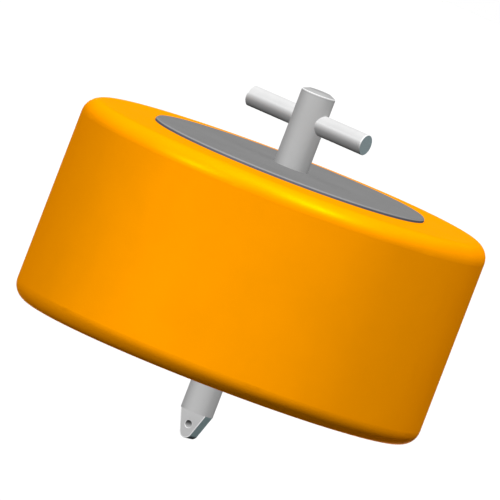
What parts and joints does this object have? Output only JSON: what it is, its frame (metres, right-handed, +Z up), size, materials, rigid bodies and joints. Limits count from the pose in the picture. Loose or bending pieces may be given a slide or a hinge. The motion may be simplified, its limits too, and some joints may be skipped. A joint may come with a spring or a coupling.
{
  "type": "mooring buoy",
  "caption": "Squat round foam mooring buoy with steel end plates, a centre post with a crossbar on top and a flattened shackle eye below.",
  "frame": {"origin": "on the centre pipe's axis at the waterline of the buoy riding light", "axes": "+Z up the centre pipe, X along the crossbar, Y along the shackle pin's hole"},
  "size_m": [2.4, 2.3996, 2.0739],
  "materials": {
    "float_skin": "orange sprayed elastomer skin, satin gloss",
    "plate_steel": "dark grey marine paint, matt",
    "pipe_steel": "light grey marine paint, satin",
    "bar_steel": "light grey marine paint, satin",
    "eye_steel": "light grey marine paint, satin"
  },
  "bodies": {
    "root": {"float_body": "float_skin", "top_plate": "plate_steel", "bottom_plate": "plate_steel", "centre_pipe": "pipe_steel", "pipe_cap": "pipe_steel", "through_bar": "bar_steel", "shackle_eye": "eye_steel"}
  },
  "joints": []
}
